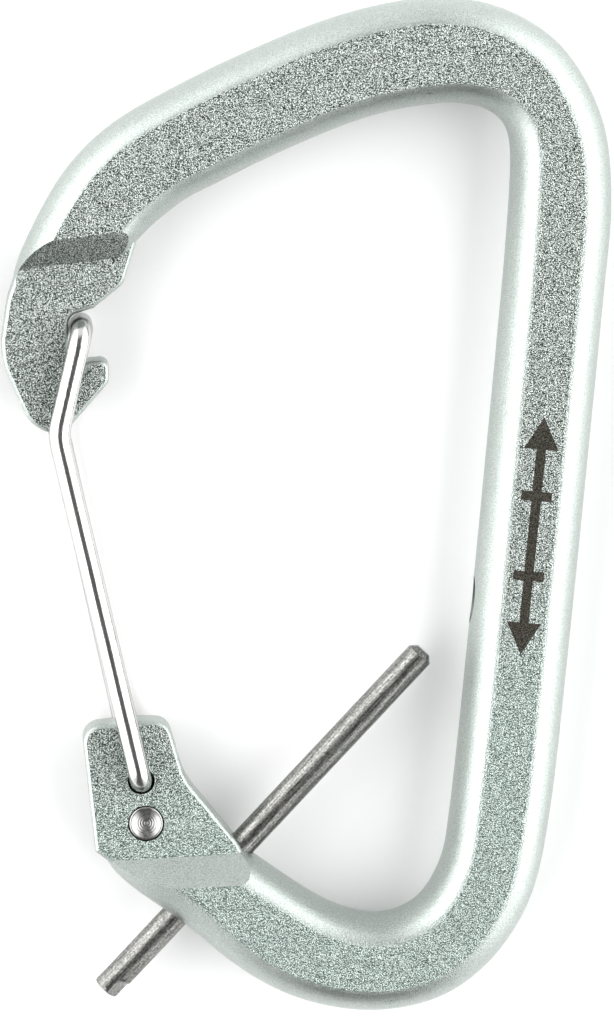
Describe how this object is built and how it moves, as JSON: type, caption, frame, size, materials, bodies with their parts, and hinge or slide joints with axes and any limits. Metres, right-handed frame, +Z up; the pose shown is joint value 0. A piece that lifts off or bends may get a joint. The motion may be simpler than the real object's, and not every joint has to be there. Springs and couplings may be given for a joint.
{
  "type": "wire-gate carabiner with captive pin",
  "caption": "Asymmetric D-shaped climbing carabiner with a flat-faced forged body, a sprung wire gate and a sliding captive cross pin.",
  "frame": {"origin": "middle of the length and width, on the face that the carabiner lies on", "axes": "+X from the gate to the spine, +Y along the length towards the top bend, +Z up through the thickness, out of the front face"},
  "size_m": [0.0634, 0.1064, 0.01],
  "materials": {
    "forged_aluminium": "forged and blasted flats with tumbled smooth edges",
    "wire_steel": "polished stainless spring wire",
    "pin_steel": "satin turned steel"
  },
  "bodies": {
    "carabiner_body": {"forged_body": "forged_aluminium"},
    "gate_front_leg": {"gate_wire_front": "wire_steel"},
    "gate_rear_leg": {"gate_wire_rear": "wire_steel"},
    "cross_pin": {"captive_pin": "pin_steel"}
  },
  "joints": [
    {"name": "gate_swing", "type": "hinge", "parent": "carabiner_body", "child": "gate_front_leg", "pos_m": [-0.0174, -0.0283, 0.005], "axis": [0, 0, -1], "range_deg": [0, 36], "stiffness_Nm_per_rad": 0.3, "springref_deg": -34.38},
    {"name": "gate_rear_swing", "type": "hinge", "parent": "carabiner_body", "child": "gate_rear_leg", "pos_m": [-0.0169, -0.0328, 0.005], "axis": [0, 0, -1], "range_deg": [0, 33]},
    {"name": "pin_slide", "type": "slide", "parent": "carabiner_body", "child": "cross_pin", "axis": [0.682, 0.7314, 0], "range_m": [-0.025, 0.0105]}
  ],
  "couplings": [
    {"joint": "gate_rear_swing", "follows": "gate_swing", "ratio": 0.9136}
  ]
}
